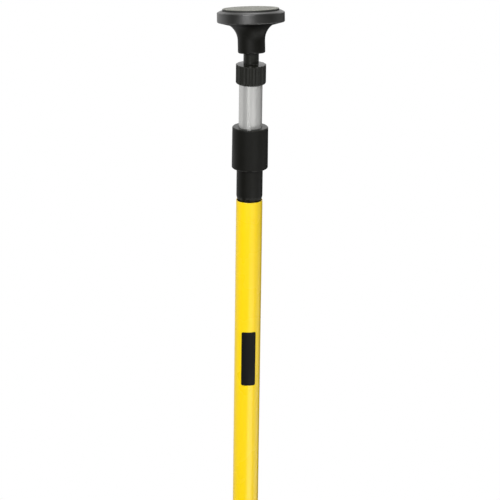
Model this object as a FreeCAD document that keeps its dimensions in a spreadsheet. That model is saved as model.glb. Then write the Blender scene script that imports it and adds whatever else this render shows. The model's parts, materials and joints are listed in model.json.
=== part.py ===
"""Telescopic support pole: a yellow tube with a rubber foot, a silver tube that slides in it under a twist
lock, and a screw-adjusted head whose rubber pad leans on a ball. Millimetres, +Z up, foot on Z = 0."""

import FreeCAD, Part
import math
import os
from types import SimpleNamespace

import Sketcher

# Driving sizes: alias, value in millimetres, degrees or pieces, and what it is
SIZES = [
    ("TubeOuter", 25.0, "yellow tube, outside diameter"),
    ("TubeWall", 0.7, "yellow tube, wall"),
    ("TubeLength", 1450.0, "yellow tube, length"),
    ("TubeEdge", 0.3, "yellow tube, bevel of the upper edge"),
    ("InnerOuter", 22.0, "silver tube, outside diameter"),
    ("InnerWall", 1.0, "silver tube, wall"),
    ("InnerLength", 1480.0, "silver tube, length"),
    ("InnerExposed", 41.5, "silver tube in view between collar and knob"),
    ("SeatFit", 0.05, "gap round a piece that is seated in another"),
    ("SlideFit", 0.1, "gap round a piece that slides in a bore"),
    ("TurnFit", 0.25, "gap round a piece that turns"),
    ("BootBase", 50.0, "rubber foot, diameter on the floor"),
    ("BootOuter", 33.0, "rubber foot, diameter of the sleeve"),
    ("BootHeight", 48.0, "rubber foot, height"),
    ("BootSole", 10.0, "rubber foot, thickness under the tube"),
    ("BootEdge", 5.0, "rubber foot, height of the base edge"),
    ("BootRound", 8.0, "rubber foot, radius between base and sleeve"),
    ("BootLip", 1.5, "rubber foot, bevel of the rims"),
    ("TreadDepth", 1.2, "rubber foot, depth of the tread rings"),
    ("TreadWidth", 2.5, "rubber foot, width of the tread rings"),
    ("TreadInner", 16.0, "rubber foot, inner diameter of the small ring"),
    ("TreadOuter", 32.0, "rubber foot, inner diameter of the large ring"),
    ("PlugFlange", 1.5, "foot plug, flange under the tube"),
    ("PlugLength", 28.0, "foot plug, length inside the tube"),
    ("PlugWall", 2.0, "foot plug, wall"),
    ("FerruleOuter", 24.8, "lock body, diameter of the part in view"),
    ("FerruleLength", 30.5, "lock body, length of the part in view"),
    ("FerruleEdge", 0.5, "lock body, bevel above the yellow tube"),
    ("SpigotLength", 35.0, "lock body, length inside the yellow tube"),
    ("ThreadOuter", 28.8, "lock body, diameter of the threaded neck"),
    ("ThreadLength", 16.0, "lock body, length of the threaded neck"),
    ("ThreadRise", 1.0, "lock body, neck above the collar's lower edge"),
    ("CollarLength", 40.0, "lock collar, length"),
    ("CollarLower", 34.2, "lock collar, lower diameter"),
    ("CollarUpper", 33.8, "lock collar, upper diameter"),
    ("CollarCap", 4.0, "lock collar, thickness of the top"),
    ("CollarEdge", 0.9, "lock collar, bevel of the rims"),
    ("ColletLength", 14.0, "collet, length"),
    ("ColletBase", 2.5, "collet, thickness of the base flange"),
    ("ColletLower", 26.6, "collet, cone diameter at the base"),
    ("ColletUpper", 24.4, "collet, cone diameter at the top"),
    ("ColletSlot", 1.8, "collet, width of a slot"),
    ("ColletSlots", 6, "collet, number of slots"),
    ("LugWidth", 4.0, "collet, width of a lug"),
    ("LugDepth", 2.0, "collet, depth of a lug"),
    ("LugLength", 1.8, "collet, radial length of a lug"),
    ("LugCount", 2, "collet, number of lugs and of keys in the wedge ring"),
    ("KeyLength", 6.0, "wedge ring, length of a key"),
    ("KnobOuter", 28.4, "adjusting knob, diameter over the ribs"),
    ("KnobLength", 19.0, "adjusting knob, length"),
    ("KnobOverlap", 7.5, "adjusting knob, length over the silver tube"),
    ("KnobLowerEdge", 2.0, "adjusting knob, bevel of the lower rim"),
    ("KnobUpperEdge", 0.7, "adjusting knob, bevel of the upper rim"),
    ("KnobFlutes", 16, "adjusting knob, number of flutes"),
    ("FluteRadius", 1.9, "adjusting knob, radius of a flute"),
    ("FluteDepth", 0.9, "adjusting knob, depth of a flute"),
    ("GuideStem", 22.0, "spindle guide, length inside the silver tube"),
    ("GuideFlange", 3.5, "spindle guide, flange on the silver tube"),
    ("PinDiameter", 3.0, "pins in the silver tube, diameter"),
    ("PinDepth", 2.8, "guide pins, length inside the guide"),
    ("SnapWire", 1.2, "knob snap ring, width and height of the square wire"),
    ("SnapGap", 3.0, "knob snap ring, width of the split"),
    ("ThrustThickness", 0.8, "thrust washer, thickness"),
    ("NutAcross", 17.0, "knob nut, width across flats"),
    ("NutLength", 5.0, "knob nut, length"),
    ("SpindleOuter", 12.0, "spindle, diameter of the threaded rod"),
    ("SpindleFlats", 10.0, "spindle, width across the two flats"),
    ("SpindleTravel", 24.0, "spindle, travel of the screw"),
    ("StopGap", 1.0, "spindle, gap left at the end of the travel"),
    ("NeckOuter", 14.4, "spindle, diameter of the neck"),
    ("NeckLength", 10.4, "spindle, neck in view"),
    ("NeckSeat", 0.3, "spindle, gap between neck and knob"),
    ("WaistOuter", 9.6, "spindle, diameter of the waist under the ball"),
    ("WaistTaper", 3.0, "spindle, length of the taper from neck to waist"),
    ("StopOuter", 18.0, "stop washer, diameter"),
    ("StopThickness", 1.5, "stop washer, thickness"),
    ("StopScrew", 5.0, "stop screw, thread diameter"),
    ("StopScrewHead", 10.0, "stop screw, head diameter"),
    ("StopScrewLength", 12.0, "stop screw, length in the spindle"),
    ("BallDiameter", 17.0, "swivel ball, diameter"),
    ("BallFlat", 5.6, "swivel ball, centre to the flat underneath"),
    ("BallSpigot", 6.4, "swivel ball, diameter of the spigot in it"),
    ("BallRecess", 4.5, "swivel ball, centre to the floor of the screw recess"),
    ("BallScrew", 3.0, "ball screw, thread diameter"),
    ("BallScrewHead", 8.0, "ball screw, head diameter"),
    ("BallScrewLength", 9.0, "ball screw, length in the spindle"),
    ("ScrewHeadHeight", 2.2, "ball screw and stop screw, head height"),
    ("BallFit", 0.15, "gap round the ball in its seat"),
    ("MouthDepth", 11.1, "head plate, ball centre to the mouth of the barrel"),
    ("BarrelOuter", 25.5, "head plate, diameter of the barrel"),
    ("BarrelRise", 0.8, "head plate, ball centre to the end of the straight barrel"),
    ("BarrelEdge", 1.2, "head plate, bevel of the mouth"),
    ("TrumpetRadius", 17.0, "head plate, radius of the trumpet's curve"),
    ("TrumpetOuter", 39.8, "head plate, diameter at the top of the trumpet"),
    ("FlangeOuter", 63.0, "head plate, diameter of the rim"),
    ("FlangeSlope", 3.0, "head plate, rise of the underside to the rim"),
    ("FlangeRim", 9.1, "head plate, height of the rim"),
    ("BevelHeight", 1.5, "head plate, height of the bevel above the rim"),
    ("BevelWidth", 3.0, "head plate, width of the bevel above the rim"),
    ("PlateWall", 4.0, "head plate, thickness under the hollow"),
    ("HollowOuter", 46.0, "head plate, diameter of the hollow under the pad"),
    ("PitOuter", 16.0, "head plate, diameter of the pit over the ball"),
    ("PitFloor", 3.0, "head plate, thickness over the ball seat"),
    ("RibWidth", 2.0, "head plate, thickness of a rib in the hollow"),
    ("RibCount", 8, "head plate, number of ribs in the hollow"),
    ("SocketOuter", 21.5, "socket ring, outside diameter"),
    ("SocketDepth", 5.3, "socket ring, ball centre to the lip"),
    ("SocketMouth", 20.2, "socket ring, diameter of the flared mouth"),
    ("SocketRecess", 0.4, "socket ring, depth inside the barrel"),
    ("PadOuter", 53.0, "pad disc, diameter"),
    ("PadThickness", 3.5, "pad disc, thickness"),
    ("PadProud", 2.05, "pad disc, height above the head plate"),
    ("PadEdge", 0.7, "pad disc, bevel of the upper edge"),
    ("BushHead", 14.0, "guide bush, length below the silver tube"),
    ("BushStem", 25.0, "guide bush, length inside the silver tube"),
    ("BushBore", 14.0, "guide bush, diameter of the hollow"),
    ("BushCap", 3.0, "guide bush, thickness of the closed end"),
    ("BushGap", 6.0, "guide bush, least gap to the foot plug"),
    ("HeadTilt", 8.0, "lean of the head from the pole, degrees"),
    ("HeadHeading", 104.0, "direction of the lean from +X, degrees"),
]
SHEET = "Sizes"
FULL_TURN = 360.0
HEX_SIDES = 6
FLAT_SIDES = 2
HEX_ROOT = math.sqrt(3.0)
X_AXIS = FreeCAD.Vector(1, 0, 0)


class Size:
    """A length that carries both its expression in the document and its present value."""

    def __init__(self, text, value):
        self.text = text
        self.value = value

    def __add__(self, other):
        other = as_size(other)
        return Size(f"({self.text} + {other.text})", self.value + other.value)

    def __sub__(self, other):
        other = as_size(other)
        return Size(f"({self.text} - {other.text})", self.value - other.value)

    def __mul__(self, other):
        other = as_size(other)
        return Size(f"({self.text} * {other.text})", self.value * other.value)

    def __truediv__(self, other):
        other = as_size(other)
        return Size(f"({self.text} / {other.text})", self.value / other.value)

    def __neg__(self):
        return Size(f"(0 - {self.text})", -self.value)


def as_size(number):
    return number if isinstance(number, Size) else Size(str(number), float(number))


def leg(hypotenuse, other_leg):
    """The third side of a right-angled triangle."""
    value = math.sqrt(hypotenuse.value**2 - other_leg.value**2)
    return Size(f"sqrt({hypotenuse.text} ^ 2 - {other_leg.text} ^ 2)", value)


def larger(first, second):
    return Size(f"max({first.text}; {second.text})", max(first.value, second.value))


def write_sheet():
    sheet = doc.addObject("Spreadsheet::Sheet", SHEET)
    sizes = SimpleNamespace()
    for row, (alias, value, meaning) in enumerate(SIZES, start=1):
        sheet.set(f"A{row}", meaning)
        sheet.set(f"B{row}", str(value))
        sheet.setAlias(f"B{row}", alias)
        setattr(sizes, alias, Size(f"{SHEET}.{alias}", float(value)))
    doc.recompute()
    return sizes


def bind(target, prop, size):
    target.setExpression(prop, as_size(size).text)


def new_body(label, height=0, tilt=None, turn_axis=None):
    """A body at a height on the pole's axis, leaning by tilt about turn_axis where that is given."""
    body = doc.addObject("PartDesign::Body", label)
    body.Label = label
    if tilt:
        turn = FreeCAD.Rotation(turn_axis, tilt.value)
        body.Placement = FreeCAD.Placement(FreeCAD.Vector(), turn)
        bind(body, "Placement.Rotation.Angle", tilt)
    bind(body, "Placement.Base.z", height)
    doc.recompute()
    return body


def origin_feature(body, role):
    return next(f for f in body.Origin.OriginFeatures if f.Role == role)


def arc_between(start, end, radius, side):
    """The shorter arc from start to end with its centre on the left (side 1) or right (side -1)."""
    chord = end - start
    middle = (start + end) / 2
    rise = math.sqrt(max(radius**2 - chord.Length**2 / 4, 0.0))
    normal = FreeCAD.Vector(-chord.y, chord.x, 0).normalize() * side
    centre = middle + normal * rise
    crown = centre - normal * radius
    return Part.Arc(start, crown, end) if side > 0 else Part.Arc(end, crown, start)


def outline(body, name, plane, steps):
    """A closed sketch through steps (x, y), or (x, y, radius, side) where an arc leads to that point."""
    sketch = body.newObject("Sketcher::SketchObject", name)
    sketch.AttachmentSupport = [(origin_feature(body, plane), "")]
    sketch.MapMode = "FlatFace"
    corners = [(as_size(step[0]), as_size(step[1])) for step in steps]
    places = [FreeCAD.Vector(x.value, y.value, 0) for x, y in corners]
    ends = []
    for index, step in enumerate(steps):
        start, end = places[index - 1], places[index]
        if len(step) > 2:
            radius, side = as_size(step[2]), step[3]
            edge = sketch.addGeometry(arc_between(start, end, radius.value, side), False)
            limit = sketch.addConstraint(Sketcher.Constraint("Radius", edge, radius.value))
            bind(sketch, f"Constraints[{limit}]", radius)
            ends.append((edge, 1, 2) if side > 0 else (edge, 2, 1))
        else:
            edge = sketch.addGeometry(Part.LineSegment(start, end), False)
            ends.append((edge, 1, 2))
    for index, (x, y) in enumerate(corners):
        edge, _, last = ends[index]
        following, first, _ = ends[(index + 1) % len(ends)]
        sketch.addConstraint(Sketcher.Constraint("Coincident", edge, last, following, first))
        for kind, axis, size in (("DistanceX", -2, x), ("DistanceY", -1, y)):
            if size.value == 0:
                sketch.addConstraint(Sketcher.Constraint("PointOnObject", edge, last, axis))
            else:
                limit = sketch.addConstraint(Sketcher.Constraint(kind, -1, 1, edge, last, size.value))
                bind(sketch, f"Constraints[{limit}]", size)
    doc.recompute()
    return sketch


def turned(label, steps, height=0, tilt=None, turn_axis=None):
    """A body turned round the Z axis from steps (radius, height)."""
    body = new_body(label, height, tilt, turn_axis)
    sketch = outline(body, f"{label}_profile", "XZ_Plane", steps)
    turn = body.newObject("PartDesign::Revolution", f"{label}_turned")
    turn.Profile = sketch
    turn.ReferenceAxis = (sketch, ["V_Axis"])
    turn.Angle = FULL_TURN
    doc.recompute()
    return body


def ring(inner, outer, low, high):
    return [(inner, low), (outer, low), (outer, high), (inner, high)]


def primitive(body, kind, name, sizes, base, axis=None, angle=0):
    """A PartDesign box, cylinder or prism that adds to or cuts the body, placed at base."""
    before = body.Shape.Volume
    feature = body.newObject(f"PartDesign::{kind}", name)
    if axis:
        feature.Placement = FreeCAD.Placement(FreeCAD.Vector(), FreeCAD.Rotation(axis, angle))
    for prop, size in sizes.items():
        bind(feature, prop, size)
    for letter, size in zip("xyz", base):
        bind(feature, f"Placement.Base.{letter}", size)
    doc.recompute()
    if math.isclose(body.Shape.Volume, before):
        raise RuntimeError(f"{name} changes nothing")
    return feature


def radial_box(body, kind, name, inner, outer, width, low, high):
    """A box across the +X side, from one radius to another."""
    sizes = {"Length": outer - inner, "Width": width, "Height": high - low}
    return primitive(body, kind, name, sizes, (inner, -(width / 2), low))


def cross_hole(body, name, diameter, length, height):
    """A hole along Y through the axis."""
    sizes = {"Radius": diameter / 2, "Height": length}
    return primitive(
        body, "SubtractiveCylinder", name, sizes, (0, length / 2, height), X_AXIS, FULL_TURN / 4
    )


def hex_cut(body, name, across, low, length):
    prism = primitive(
        body,
        "SubtractivePrism",
        name,
        {"Circumradius": across / HEX_ROOT, "Height": length},
        (0, 0, low),
    )
    prism.Polygon = HEX_SIDES
    doc.recompute()


def patterned(body, feature, count):
    pattern = body.newObject("PartDesign::PolarPattern", f"{feature.Name}_pattern")
    pattern.Originals = [feature]
    pattern.Axis = (origin_feature(body, "Z_Axis"), [""])
    pattern.Angle = FULL_TURN
    bind(pattern, "Occurrences", count)
    body.Tip = pattern
    doc.recompute()


def flat_sided(across, diameter):
    """The outline of a round rod with two flats, as steps (x, y)."""
    side = across / 2
    reach = leg(diameter / 2, side)
    return [
        (side, reach),
        (-side, reach, diameter / 2, 1),
        (-side, -reach),
        (side, -reach, diameter / 2, 1),
    ]


def pocket(body, sketch, depth):
    """A cut along +Z from a sketch on the XY plane."""
    before = body.Shape.Volume
    cut = body.newObject("PartDesign::Pocket", f"{sketch.Name}_cut")
    cut.Profile = sketch
    cut.Reversed = True
    bind(cut, "Length", depth)
    doc.recompute()
    if math.isclose(body.Shape.Volume, before):
        raise RuntimeError(f"{sketch.Name} cuts nothing")


def make_places(d):
    """Heights of the main seams of the pole, from the floor up. The silver tube stands InnerExposed out of
    the lock, or higher where it is too long for that."""
    place = SimpleNamespace()
    place.plug_bottom = d.BootSole
    place.tube_bottom = place.plug_bottom + d.PlugFlange
    place.plug_top = place.tube_bottom + d.PlugLength
    place.tube_top = place.tube_bottom + d.TubeLength
    place.collar_bottom = place.tube_top + d.FerruleLength
    place.neck_bottom = place.collar_bottom + d.ThreadRise
    place.collet_bottom = place.neck_bottom + d.ThreadLength
    place.collar_top = place.collar_bottom + d.CollarLength
    place.cap_underside = place.collar_top - d.CollarCap
    set_out = place.collar_top + d.InnerExposed + d.KnobOverlap
    pushed_in = place.plug_top + d.BushGap + d.BushHead + d.InnerLength
    place.inner_top = larger(set_out, pushed_in)
    place.inner_bottom = place.inner_top - d.InnerLength
    place.knob_bottom = place.inner_top - d.KnobOverlap
    place.guide_pin = place.inner_top - d.KnobOverlap / 2
    place.guide_bottom = place.inner_top - d.GuideStem
    place.thrust_bottom = place.inner_top + d.GuideFlange + d.SeatFit
    place.nut_bottom = place.thrust_bottom + d.ThrustThickness + d.SeatFit
    place.knob_top = place.knob_bottom + d.KnobLength
    place.neck_seat = place.knob_top + d.NeckSeat
    place.spindle_bottom = place.guide_bottom - d.SpindleTravel - d.StopGap
    place.ball = place.knob_top + d.NeckLength + d.MouthDepth
    return place


def make_foot(d, place):
    tube_radius = d.TubeOuter / 2
    tube_bore = tube_radius - d.TubeWall
    base, sleeve = d.BootBase / 2, d.BootOuter / 2
    shoulder = d.BootEdge + d.BootRound
    ring_one, ring_two = d.TreadInner / 2, d.TreadOuter / 2
    boot = turned(
        "foot_boot",
        [
            (0, 0),
            (ring_one, 0),
            (ring_one, d.TreadDepth),
            (ring_one + d.TreadWidth, d.TreadDepth),
            (ring_one + d.TreadWidth, 0),
            (ring_two, 0),
            (ring_two, d.TreadDepth),
            (ring_two + d.TreadWidth, d.TreadDepth),
            (ring_two + d.TreadWidth, 0),
            (base - d.BootLip, 0),
            (base, d.BootLip),
            (base, d.BootEdge),
            (sleeve + d.BootRound, d.BootEdge),
            (sleeve, shoulder, d.BootRound, -1),
            (sleeve, d.BootHeight - d.BootLip),
            (sleeve - d.BootLip, d.BootHeight),
            (tube_radius + d.SeatFit, d.BootHeight),
            (tube_radius + d.SeatFit, d.BootSole),
            (0, d.BootSole),
        ],
    )
    plug_radius = tube_bore - d.SeatFit
    plug = turned(
        "foot_plug",
        [
            (0, 0),
            (tube_radius, 0),
            (tube_radius, d.PlugFlange),
            (plug_radius, d.PlugFlange),
            (plug_radius, d.PlugFlange + d.PlugLength),
            (plug_radius - d.PlugWall, d.PlugFlange + d.PlugLength),
            (plug_radius - d.PlugWall, d.PlugFlange),
            (0, d.PlugFlange),
        ],
        place.plug_bottom,
    )
    return [boot, plug]


def make_tubes(d, place):
    outer, bore = d.TubeOuter / 2, d.TubeOuter / 2 - d.TubeWall
    yellow = turned(
        "outer_tube",
        [
            (bore, 0),
            (outer, 0),
            (outer, d.TubeLength - d.TubeEdge),
            (outer - d.TubeEdge, d.TubeLength),
            (bore, d.TubeLength),
        ],
        place.tube_bottom,
    )
    inner_outer = d.InnerOuter / 2
    silver = turned(
        "inner_tube",
        ring(inner_outer - d.InnerWall, inner_outer, 0, d.InnerLength),
        place.inner_bottom,
    )
    hole = d.PinDiameter + d.SeatFit * 2
    cross_hole(silver, "bush_pin_hole", hole, d.InnerOuter * 2, d.BushStem / 2)
    cross_hole(silver, "guide_pin_hole", hole, d.InnerOuter * 2, place.guide_pin - place.inner_bottom)
    return [yellow, silver]


def make_lock(d, place):
    bore = d.InnerOuter / 2 + d.SlideFit
    spigot = d.TubeOuter / 2 - d.TubeWall - d.SeatFit
    ferrule, thread = d.FerruleOuter / 2, d.ThreadOuter / 2
    shoulder = d.SpigotLength + d.FerruleLength + d.ThreadRise
    neck_top = shoulder + d.ThreadLength
    lock_body = turned(
        "lock_body",
        [
            (bore, 0),
            (spigot, 0),
            (spigot, d.SpigotLength),
            (ferrule - d.FerruleEdge, d.SpigotLength),
            (ferrule, d.SpigotLength + d.FerruleEdge),
            (ferrule, shoulder),
            (thread, shoulder),
            (thread, neck_top),
            (bore, neck_top),
        ],
        place.tube_top - d.SpigotLength,
    )
    notch = radial_box(
        lock_body,
        "SubtractiveBox",
        "lug_notch",
        thread - d.LugLength - d.SeatFit,
        thread + d.LugLength,
        d.LugWidth + d.SeatFit * 2,
        neck_top - d.LugDepth - d.SeatFit,
        neck_top + d.LugDepth,
    )
    patterned(lock_body, notch, d.LugCount)

    cone_low, cone_high = d.ColletLower / 2, d.ColletUpper / 2
    clamp = d.InnerOuter / 2 + d.SeatFit
    collet = turned(
        "collet",
        [
            (clamp, 0),
            (thread, 0),
            (thread, d.ColletBase),
            (cone_low, d.ColletBase),
            (cone_high, d.ColletLength),
            (clamp, d.ColletLength),
        ],
        place.collet_bottom,
    )
    lug = radial_box(
        collet, "AdditiveBox", "lug", thread - d.LugLength, thread, d.LugWidth, -d.LugDepth, d.ColletBase
    )
    patterned(collet, lug, d.LugCount)
    slot = radial_box(
        collet,
        "SubtractiveBox",
        "slot",
        clamp - d.ColletBase,
        thread + d.ColletBase,
        d.ColletSlot,
        d.ColletBase + d.ColletSlot,
        d.ColletLength + d.ColletSlot,
    )
    patterned(collet, slot, d.ColletSlots)

    wedge_low = d.ColletBase + d.ColletSlot
    wedge_top = place.cap_underside - place.collet_bottom - d.SeatFit
    throat = (d.ColletLength + wedge_top) / 2
    taper = (cone_low - cone_high) / (d.ColletLength - d.ColletBase)
    mouth = cone_low - taper * d.ColletSlot + d.SeatFit
    crown = cone_high + d.SeatFit
    wedge_outer = thread - d.TurnFit
    wedge = turned(
        "wedge_ring",
        [
            (mouth, wedge_low),
            (wedge_outer, wedge_low),
            (wedge_outer, wedge_top),
            (d.InnerOuter / 2 + d.TurnFit, wedge_top),
            (d.InnerOuter / 2 + d.TurnFit, throat),
            (crown, d.ColletLength),
        ],
        place.collet_bottom,
    )
    key = radial_box(
        wedge,
        "AdditiveBox",
        "key",
        d.InnerOuter / 2 + d.TurnFit,
        wedge_outer - d.TurnFit,
        d.ColletSlot - d.TurnFit * 2,
        d.ColletLength - d.KeyLength,
        throat,
    )
    patterned(wedge, key, d.LugCount)

    collar_bore = thread + d.TurnFit
    low, high = d.CollarLower / 2, d.CollarUpper / 2
    top_hole = d.InnerOuter / 2 + d.TurnFit
    collar = turned(
        "lock_collar",
        [
            (collar_bore, 0),
            (low - d.CollarEdge, 0),
            (low, d.CollarEdge),
            (high, d.CollarLength - d.CollarEdge),
            (high - d.CollarEdge, d.CollarLength),
            (top_hole, d.CollarLength),
            (top_hole, d.CollarLength - d.CollarCap),
            (collar_bore, d.CollarLength - d.CollarCap),
        ],
        place.collar_bottom,
    )
    return [lock_body, collet, wedge, collar]


def make_slide_bush(d, place):
    head = d.TubeOuter / 2 - d.TubeWall - d.SlideFit
    stem = d.InnerOuter / 2 - d.InnerWall - d.SeatFit
    hollow = d.BushBore / 2
    length = d.BushHead + d.BushStem
    bush = turned(
        "guide_bush",
        [
            (hollow, 0),
            (head, 0),
            (head, d.BushHead),
            (stem, d.BushHead),
            (stem, length),
            (0, length),
            (0, length - d.BushCap),
            (hollow, length - d.BushCap),
        ],
        place.inner_bottom - d.BushHead,
    )
    cross_hole(bush, "bush_hole", d.PinDiameter + d.SeatFit * 2, d.InnerOuter, d.BushHead + d.BushStem / 2)
    pin_length = d.InnerOuter - d.SlideFit * 2
    pin = doc.addObject("Part::Cylinder", "bush_pin")
    pin.Label = "bush_pin"
    pin.Placement = FreeCAD.Placement(FreeCAD.Vector(), FreeCAD.Rotation(X_AXIS, FULL_TURN / 4))
    bind(pin, "Radius", d.PinDiameter / 2)
    bind(pin, "Height", pin_length)
    bind(pin, "Placement.Base.y", pin_length / 2)
    bind(pin, "Placement.Base.z", place.inner_bottom + d.BushStem / 2)
    return [bush, pin]


def make_guide(d, place):
    stem = d.InnerOuter / 2 - d.InnerWall - d.SeatFit
    flange = d.InnerOuter / 2 - d.SlideFit
    top = d.GuideStem + d.GuideFlange
    groove_low = d.GuideStem + (d.GuideFlange - d.SnapWire) / 2 - d.SeatFit
    groove_high = groove_low + d.SnapWire + d.SeatFit * 2
    groove_floor = flange - d.SnapWire / 2 - d.SeatFit
    guide = turned(
        "spindle_guide",
        [
            (0, 0),
            (stem, 0),
            (stem, d.GuideStem),
            (flange, d.GuideStem),
            (flange, groove_low),
            (groove_floor, groove_low),
            (groove_floor, groove_high),
            (flange, groove_high),
            (flange, top),
            (0, top),
        ],
        place.guide_bottom,
    )
    loose = d.SlideFit * 2
    bore = outline(
        guide, "guide_bore", "XY_Plane", flat_sided(d.SpindleFlats + loose, d.SpindleOuter + loose)
    )
    pocket(guide, bore, top)
    hole = d.PinDiameter + d.SeatFit * 2
    cross_hole(guide, "guide_hole", hole, d.InnerOuter, place.guide_pin - place.guide_bottom)

    outer_end = d.InnerOuter / 2 - d.SlideFit
    pin_length = d.InnerWall + d.PinDepth
    pins = []
    for side in (1, -1):
        pin = doc.addObject("Part::Cylinder", "guide_pin")
        turn = FreeCAD.Rotation(X_AXIS, side * FULL_TURN / 4)
        pin.Placement = FreeCAD.Placement(FreeCAD.Vector(), turn)
        bind(pin, "Radius", d.PinDiameter / 2)
        bind(pin, "Height", pin_length)
        bind(pin, "Placement.Base.y", outer_end * side)
        bind(pin, "Placement.Base.z", place.guide_pin)
        pins.append(pin)
    pair = doc.addObject("Part::Compound", "guide_pins")
    pair.Label = "guide_pins"
    pair.Links = pins

    wire = d.SnapWire / 2
    snap = turned(
        "knob_snap_ring",
        ring(flange - wire, flange + wire, -wire, wire),
        place.inner_top + d.GuideFlange / 2,
    )
    radial_box(
        snap,
        "SubtractiveBox",
        "snap_split",
        flange - d.SnapWire,
        flange + d.SnapWire,
        d.SnapGap,
        -wire,
        wire,
    )

    thrust = turned(
        "thrust_washer",
        ring(d.SpindleOuter / 2 + d.TurnFit, flange, 0, d.ThrustThickness),
        place.thrust_bottom,
    )
    return [guide, pair, snap, thrust]


def make_knob(d, place):
    outer = d.KnobOuter / 2
    skirt = d.InnerOuter / 2 + d.TurnFit
    hole = d.SpindleOuter / 2 + d.TurnFit
    floor = place.nut_bottom - place.knob_bottom - d.SeatFit
    groove_middle = d.KnobOverlap + d.GuideFlange / 2
    groove_half = d.SnapWire / 2 + d.TurnFit
    groove_depth = d.InnerOuter / 2 - d.SlideFit + d.SnapWire / 2 + d.TurnFit
    knob = turned(
        "adjusting_knob",
        [
            (skirt, 0),
            (outer - d.KnobLowerEdge, 0),
            (outer, d.KnobLowerEdge),
            (outer, d.KnobLength - d.KnobUpperEdge),
            (outer - d.KnobUpperEdge, d.KnobLength),
            (hole, d.KnobLength),
            (hole, floor),
            (skirt, floor),
            (skirt, groove_middle + groove_half),
            (groove_depth, groove_middle + groove_half),
            (groove_depth, groove_middle - groove_half),
            (skirt, groove_middle - groove_half),
        ],
        place.knob_bottom,
    )
    flute = primitive(
        knob,
        "SubtractiveCylinder",
        "flute",
        {"Radius": d.FluteRadius, "Height": d.KnobLength * 2},
        (outer + d.FluteRadius - d.FluteDepth, 0, -(d.KnobLength / 2)),
    )
    patterned(knob, flute, d.KnobFlutes)
    pocket_depth = d.NutLength + d.SeatFit * 2
    hex_cut(knob, "nut_pocket", d.NutAcross + d.SeatFit * 2, floor, pocket_depth)

    blank = doc.addObject("Part::Prism", "nut_blank")
    blank.Polygon = HEX_SIDES
    bind(blank, "Circumradius", d.NutAcross / HEX_ROOT)
    bind(blank, "Height", d.NutLength)
    bind(blank, "Placement.Base.z", place.nut_bottom)
    bore = doc.addObject("Part::Cylinder", "nut_bore")
    bind(bore, "Radius", d.SpindleOuter / 2 + d.SlideFit)
    bind(bore, "Height", d.NutLength * 2)
    bind(bore, "Placement.Base.z", place.nut_bottom - d.NutLength / 2)
    nut = doc.addObject("Part::Cut", "knob_nut")
    nut.Label = "knob_nut"
    nut.Base = blank
    nut.Tool = bore
    return [knob, nut]


def make_spindle(d, place):
    rod, neck, waist = d.SpindleOuter / 2, d.NeckOuter / 2, d.WaistOuter / 2
    spigot = d.BallSpigot / 2 - d.SlideFit
    seat = place.neck_seat - place.spindle_bottom
    ball = place.ball - place.spindle_bottom
    neck_top = ball - d.MouthDepth
    flat_top = ball - d.BallFlat - d.SeatFit
    spigot_top = ball + d.BallRecess - d.SeatFit
    spindle = turned(
        "spindle",
        [
            (0, 0),
            (rod, 0),
            (rod, seat),
            (neck, seat),
            (neck, neck_top),
            (waist, neck_top + d.WaistTaper),
            (waist, flat_top),
            (spigot, flat_top),
            (spigot, spigot_top),
            (0, spigot_top),
        ],
        place.spindle_bottom,
    )
    flat_length = d.StopGap + d.SpindleTravel + d.GuideStem + d.GuideFlange
    side = d.SpindleFlats / 2
    reach = side + d.SpindleOuter
    flat = radial_box(
        spindle, "SubtractiveBox", "flat", side, reach, d.SpindleOuter * 2, as_size(0), flat_length
    )
    patterned(spindle, flat, as_size(FLAT_SIDES))
    screw_hole = {"Radius": d.StopScrew / 2 + d.SeatFit, "Height": d.StopScrewLength + d.StopGap}
    primitive(spindle, "SubtractiveCylinder", "stop_screw_hole", screw_hole, (0, 0, 0))
    hole_depth = d.BallScrewLength + d.StopGap
    ball_hole = {"Radius": d.BallScrew / 2 + d.SeatFit, "Height": hole_depth}
    primitive(spindle, "SubtractiveCylinder", "ball_screw_hole", ball_hole, (0, 0, spigot_top - hole_depth))

    washer = turned(
        "stop_washer",
        ring(d.StopScrew / 2 + d.SeatFit, d.StopOuter / 2, 0, d.StopThickness),
        place.spindle_bottom - d.SeatFit - d.StopThickness,
    )
    head_top = d.ScrewHeadHeight
    stop_screw = turned(
        "stop_screw",
        [
            (0, 0),
            (d.StopScrewHead / 2, 0),
            (d.StopScrewHead / 2, head_top),
            (d.StopScrew / 2, head_top),
            (d.StopScrew / 2, head_top + d.StopThickness + d.StopScrewLength),
            (0, head_top + d.StopThickness + d.StopScrewLength),
        ],
        place.spindle_bottom - d.SeatFit * 2 - d.StopThickness - d.ScrewHeadHeight,
    )
    hex_cut(stop_screw, "stop_screw_socket", d.StopScrew, as_size(0), d.ScrewHeadHeight / 2)
    ball_screw = turned(
        "ball_screw",
        [
            (0, 0),
            (d.BallScrew / 2, 0),
            (d.BallScrew / 2, d.BallScrewLength),
            (d.BallScrewHead / 2, d.BallScrewLength),
            (d.BallScrewHead / 2, d.BallScrewLength + d.ScrewHeadHeight),
            (0, d.BallScrewLength + d.ScrewHeadHeight),
        ],
        place.ball + d.BallRecess + d.SeatFit - d.BallScrewLength,
    )
    socket_low = d.BallScrewLength + d.ScrewHeadHeight / 2
    hex_cut(ball_screw, "ball_screw_socket", d.BallScrew, socket_low, d.ScrewHeadHeight)
    return [spindle, washer, stop_screw, ball_screw]


def make_ball(d, place):
    radius = d.BallDiameter / 2
    bore = d.BallSpigot / 2
    recess = d.BallScrewHead / 2 + d.TurnFit
    flat_edge = leg(radius, d.BallFlat)
    crown = leg(radius, recess)
    ball = turned(
        "swivel_ball",
        [
            (bore, -d.BallFlat),
            (flat_edge, -d.BallFlat),
            (radius, 0, radius, 1),
            (recess, crown, radius, 1),
            (recess, d.BallRecess),
            (bore, d.BallRecess),
        ],
        place.ball,
    )
    return [ball]


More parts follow.
